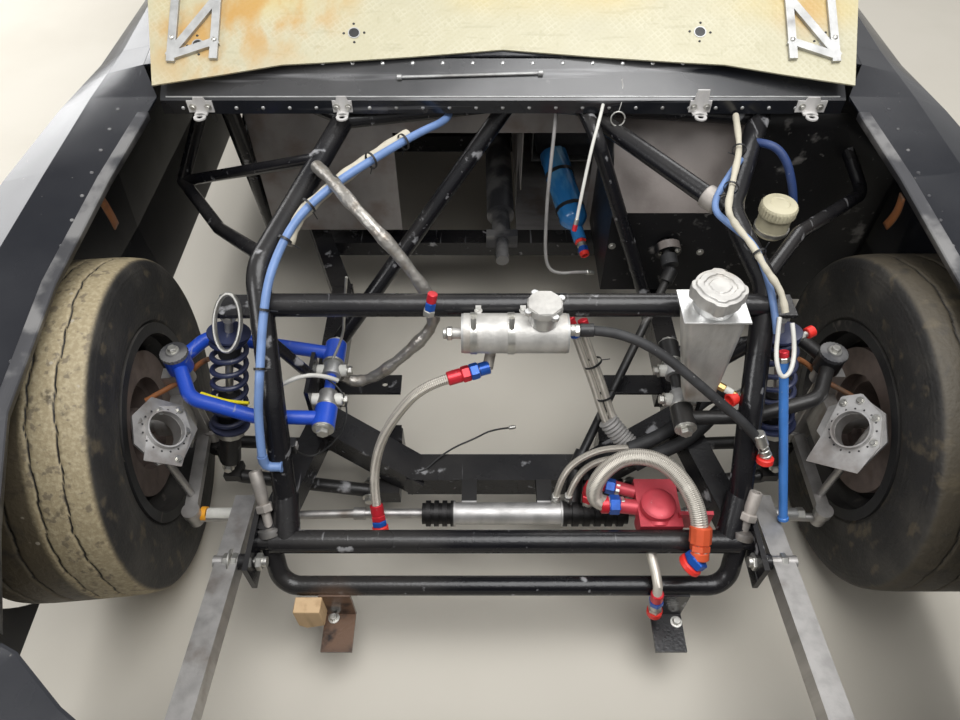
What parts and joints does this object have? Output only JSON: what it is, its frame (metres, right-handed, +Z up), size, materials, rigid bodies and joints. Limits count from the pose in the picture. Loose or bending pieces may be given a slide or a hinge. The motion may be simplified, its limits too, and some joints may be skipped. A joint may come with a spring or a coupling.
{
  "type": "late model stock car",
  "caption": "Short-track racing car with a flat-sided body on a tube frame, open front bay with no engine, hood laid on the windshield, turning wheels, steering and deck lid.",
  "frame": {"origin": "on the ground under the middle of the car's bounding box", "axes": "-Y towards the nose, +X towards the driver's side, +Z up"},
  "size_m": [1.9797, 4.88, 1.4636],
  "materials": {
    "body_paint": "gloss, dusty",
    "door_paint": "gloss, dusty",
    "clear": "clear polycarbonate",
    "frame_paint": "semi-gloss black",
    "hood_fibreglass": "raw laminate",
    "aluminium": "brushed",
    "sheet_grey": "worn",
    "box_black": "worn",
    "tyre": "dusty",
    "rim_black": "satin",
    "iron": "machined",
    "steel": "bare",
    "arm_blue": "gloss",
    "arm_black": "satin",
    "spring": "satin",
    "rubber": "matt",
    "braid": "braided",
    "anodised_red": "anodised",
    "bottle": "translucent",
    "pads": "woven",
    "hose_blue": "matt"
  },
  "bodies": {
    "chassis": {"fender_left": "body_paint", "fender_right": "body_paint", "door_left": "door_paint", "door_right": "door_paint", "quarter_left": "body_paint", "quarter_right": "body_paint", "nose_cover": "body_paint", "tail_cover": "body_paint", "roof_shell": "body_paint", "windshield": "clear", "rear_windows": "clear", "cowl_panel": "frame_paint", "hood_panel": "hood_fibreglass", "hood_stiffeners": "aluminium", "main_frame": "frame_paint", "front_clip": "frame_paint", "roll_cage": "frame_paint", "interior_sheets": "sheet_grey", "firewall": "sheet_grey", "footbox": "box_black", "dash_panel": "box_black", "seat_shell": "aluminium", "seat_pads": "pads", "nose_rails": "steel", "upper_arm_left": "arm_black", "upper_arm_right": "arm_blue", "lower_arms": "arm_black", "coilovers": "spring", "rack_housing": "aluminium", "rear_axle": "frame_paint", "trailing_arms": "aluminium", "driveshaft": "sheet_grey", "fuel_cell": "box_black", "surge_tank": "aluminium", "catch_tank": "aluminium", "filter_mount": "anodised_red", "bay_bottles": "bottle", "braided_hose": "braid", "filter_hose": "braid", "vent_hose": "rubber", "blue_hose": "hose_blue"},
    "knuckle_left": {"knuckle_left": "steel"},
    "knuckle_right": {"knuckle_right": "steel"},
    "wheel_front_left": {"tyre_front_left": "tyre", "rim_front_left": "rim_black", "hub_front_left": "iron"},
    "wheel_front_right": {"tyre_front_right": "tyre", "rim_front_right": "rim_black", "hub_front_right": "iron"},
    "wheel_rear_left": {"tyre_rear_left": "tyre", "rim_rear_left": "rim_black"},
    "wheel_rear_right": {"tyre_rear_right": "tyre", "rim_rear_right": "rim_black"},
    "rack": {"rack_bar": "steel"},
    "steering_wheel": {"steering_wheel": "rubber"},
    "steering_shaft": {"steering_shaft": "steel"},
    "deck_lid": {"deck_lid": "body_paint"}
  },
  "joints": [
    {"name": "steer_left", "type": "hinge", "parent": "chassis", "child": "knuckle_left", "pos_m": [0.65, -1.35, 0.345], "axis": [0, 0, 1], "range_deg": [-18, 18]},
    {"name": "steer_right", "type": "hinge", "parent": "chassis", "child": "knuckle_right", "pos_m": [-0.65, -1.35, 0.345], "axis": [0, 0, 1], "range_deg": [-18, 18]},
    {"name": "rack_slide", "type": "slide", "parent": "chassis", "child": "rack", "axis": [1, 0, 0], "range_m": [-0.063, 0.063]},
    {"name": "steering_wheel_turn", "type": "hinge", "parent": "chassis", "child": "steering_wheel", "pos_m": [0.33, -0.33, 0.692], "axis": [0.0819, -0.9441, -0.3193], "range_deg": [-180, 180]},
    {"name": "steering_shaft_turn", "type": "hinge", "parent": "chassis", "child": "steering_shaft", "pos_m": [0.39247, -1.05003, 0.44846], "axis": [-0.4622, -0.7944, -0.394], "range_deg": [-180, 180]},
    {"name": "spin_front_left", "type": "hinge", "parent": "knuckle_left", "child": "wheel_front_left", "pos_m": [0.838, -1.395, 0.345], "axis": [1, 0, 0], "continuous": true},
    {"name": "spin_front_right", "type": "hinge", "parent": "knuckle_right", "child": "wheel_front_right", "pos_m": [-0.83282, -1.41281, 0.345], "axis": [0.9954, 0.0958, 0], "continuous": true},
    {"name": "spin_rear_left", "type": "hinge", "parent": "chassis", "child": "wheel_rear_left", "pos_m": [0.838, 1.272, 0.345], "axis": [1, 0, 0], "continuous": true},
    {"name": "spin_rear_right", "type": "hinge", "parent": "chassis", "child": "wheel_rear_right", "pos_m": [-0.838, 1.272, 0.345], "axis": [1, 0, 0], "continuous": true},
    {"name": "deck_lid_open", "type": "hinge", "parent": "chassis", "child": "deck_lid", "pos_m": [0, 1.475, 0.874], "axis": [1, 0, 0], "range_deg": [0, 60]}
  ],
  "couplings": [
    {"joint": "steer_right", "follows": "steer_left", "ratio": 1},
    {"joint": "rack_slide", "follows": "steer_left", "m_per_rad": 0.199},
    {"joint": "steering_wheel_turn", "follows": "steer_left", "ratio": -10},
    {"joint": "steering_shaft_turn", "follows": "steer_left", "ratio": -10}
  ]
}
